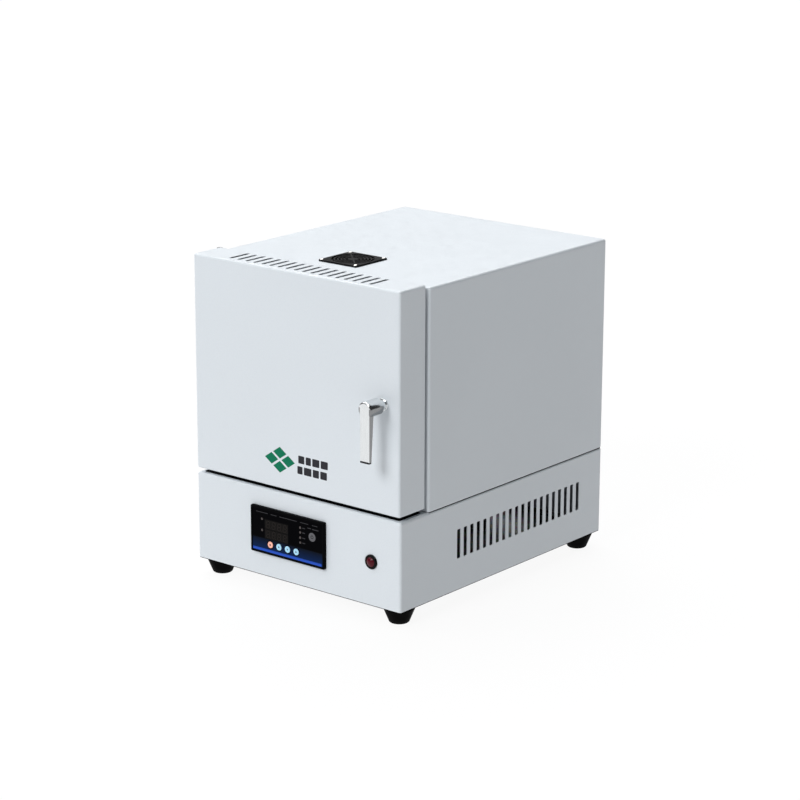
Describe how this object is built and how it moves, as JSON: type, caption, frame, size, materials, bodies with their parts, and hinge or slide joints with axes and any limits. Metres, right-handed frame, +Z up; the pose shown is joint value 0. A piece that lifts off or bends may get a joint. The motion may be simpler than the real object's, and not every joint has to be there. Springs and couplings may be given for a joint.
{
  "type": "benchtop muffle furnace",
  "caption": "Benchtop muffle furnace: fibre-lined heated chamber behind a left-hinged slab door with a lever handle, on a vented control base with panel controller and rubber feet.",
  "frame": {"origin": "centre of the whole footprint, at the level of the feet's undersides", "axes": "+X to the right seen from the front, +Y to the back, +Z up"},
  "size_m": [0.4478, 0.6145, 0.5515],
  "materials": {
    "casing": "satin white powder coat",
    "stainless": "brushed",
    "hinge_steel": "satin black coat",
    "zinc_steel": "zinc plated",
    "screw_steel": "nickel plated",
    "handle_metal": "satin chrome",
    "foot_rubber": "matte",
    "fibre_board": "felted ceramic fibre",
    "hard_board": "dense ceramic-fibre board",
    "seal_rope": "ceramic-fibre rope",
    "hearth_ceramic": "matte",
    "thermocouple_ceramic": "matte",
    "heater_wire": "oxidised",
    "black_plastic": "matte",
    "fan_plastic": "matte",
    "gland_plastic": "matte",
    "breaker_plastic": "matte",
    "toggle_plastic": "gloss",
    "terminal_plastic": "matte",
    "relay_plastic": "matte",
    "heat_sink_aluminium": "extruded",
    "controller_frame": "satin",
    "controller_glass": "gloss",
    "display_dark": "gloss",
    "key_orange": "satin",
    "key_blue": "satin",
    "switch_black": "satin",
    "lens_red": "gloss",
    "clamp_ceramic": "glazed",
    "lead_silicone": "matte"
  },
  "bodies": {
    "cabinet": {"base_shell": "casing", "base_floor_pan": "zinc_steel", "base_rear_panel": "casing", "rubber_foot_front_left": "foot_rubber", "rubber_foot_front_right": "foot_rubber", "rubber_foot_rear_left": "foot_rubber", "rubber_foot_rear_right": "foot_rubber", "cable_gland": "gland_plastic", "circuit_breaker": "breaker_plastic", "terminal_block": "terminal_plastic", "heat_sink": "heat_sink_aluminium", "solid_state_relay": "relay_plastic", "controller_bezel": "controller_frame", "controller_window": "controller_glass", "controller_display": "display_dark", "controller_case": "black_plastic", "power_switch_bezel": "switch_black", "power_switch_body": "black_plastic", "body_shell": "casing", "front_plate": "stainless", "body_rear_panel": "casing", "inner_liner": "zinc_steel", "floor_board": "fibre_board", "roof_board": "fibre_board", "left_board": "fibre_board", "right_board": "fibre_board", "rear_board": "fibre_board", "throat_frame": "hard_board", "hearth_plate": "hearth_ceramic", "left_heater": "heater_wire", "right_heater": "heater_wire", "heater_terminals": "clamp_ceramic", "thermocouple": "thermocouple_ceramic", "liner_rails": "zinc_steel", "heater_leads": "lead_silicone", "fan_frame": "fan_plastic", "fan_guard": "fan_plastic", "foot_and_fan_screws": "screw_steel", "hinge_leaves_body": "hinge_steel", "hinge_pins": "screw_steel", "casing_screws": "screw_steel"},
    "door": {"door_shell": "casing", "door_back_plate": "stainless", "door_tray": "zinc_steel", "door_plug": "fibre_board", "door_gasket": "seal_rope", "handle_rosette": "handle_metal", "hinge_leaves_door": "hinge_steel", "door_screws": "screw_steel"},
    "handle": {"handle_lever": "handle_metal", "handle_end_cap": "black_plastic", "handle_spindle": "screw_steel", "latch_cam": "zinc_steel"},
    "fan_rotor": {"fan_rotor": "fan_plastic"},
    "key_set": {"controller_key_set": "key_orange"},
    "key_shift": {"controller_key_shift": "key_blue"},
    "key_down": {"controller_key_down": "key_blue"},
    "key_up": {"controller_key_up": "key_blue"},
    "power_button": {"power_button": "lens_red"},
    "breaker_toggle": {"breaker_toggle": "toggle_plastic"}
  },
  "joints": [
    {"name": "door_hinge", "type": "hinge", "parent": "cabinet", "child": "door", "pos_m": [-0.223, -0.196, 0.367], "axis": [0, 0, -1], "range_deg": [0, 120]},
    {"name": "handle_turn", "type": "hinge", "parent": "door", "child": "handle", "pos_m": [0.184, -0.263, 0.3665], "axis": [0, 1, 0], "range_deg": [0, 90]},
    {"name": "fan_spin", "type": "hinge", "parent": "cabinet", "child": "fan_rotor", "pos_m": [0, -0.118, 0.532], "axis": [0, 0, 1], "continuous": true},
    {"name": "key_set_press", "type": "slide", "parent": "cabinet", "child": "key_set", "axis": [0, 1, 0], "range_m": [0, 0.0007], "stiffness_N_per_m": 3500},
    {"name": "key_shift_press", "type": "slide", "parent": "cabinet", "child": "key_shift", "axis": [0, 1, 0], "range_m": [0, 0.0007], "stiffness_N_per_m": 3500},
    {"name": "key_down_press", "type": "slide", "parent": "cabinet", "child": "key_down", "axis": [0, 1, 0], "range_m": [0, 0.0007], "stiffness_N_per_m": 3500},
    {"name": "key_up_press", "type": "slide", "parent": "cabinet", "child": "key_up", "axis": [0, 1, 0], "range_m": [0, 0.0007], "stiffness_N_per_m": 3500},
    {"name": "power_button_press", "type": "slide", "parent": "cabinet", "child": "power_button", "axis": [0, 1, 0], "range_m": [0, 0.003], "stiffness_N_per_m": 900},
    {"name": "breaker_toggle_turn", "type": "hinge", "parent": "cabinet", "child": "breaker_toggle", "pos_m": [-0.07, 0.284, 0.098], "axis": [1, 0, 0], "range_deg": [0, 50]}
  ]
}
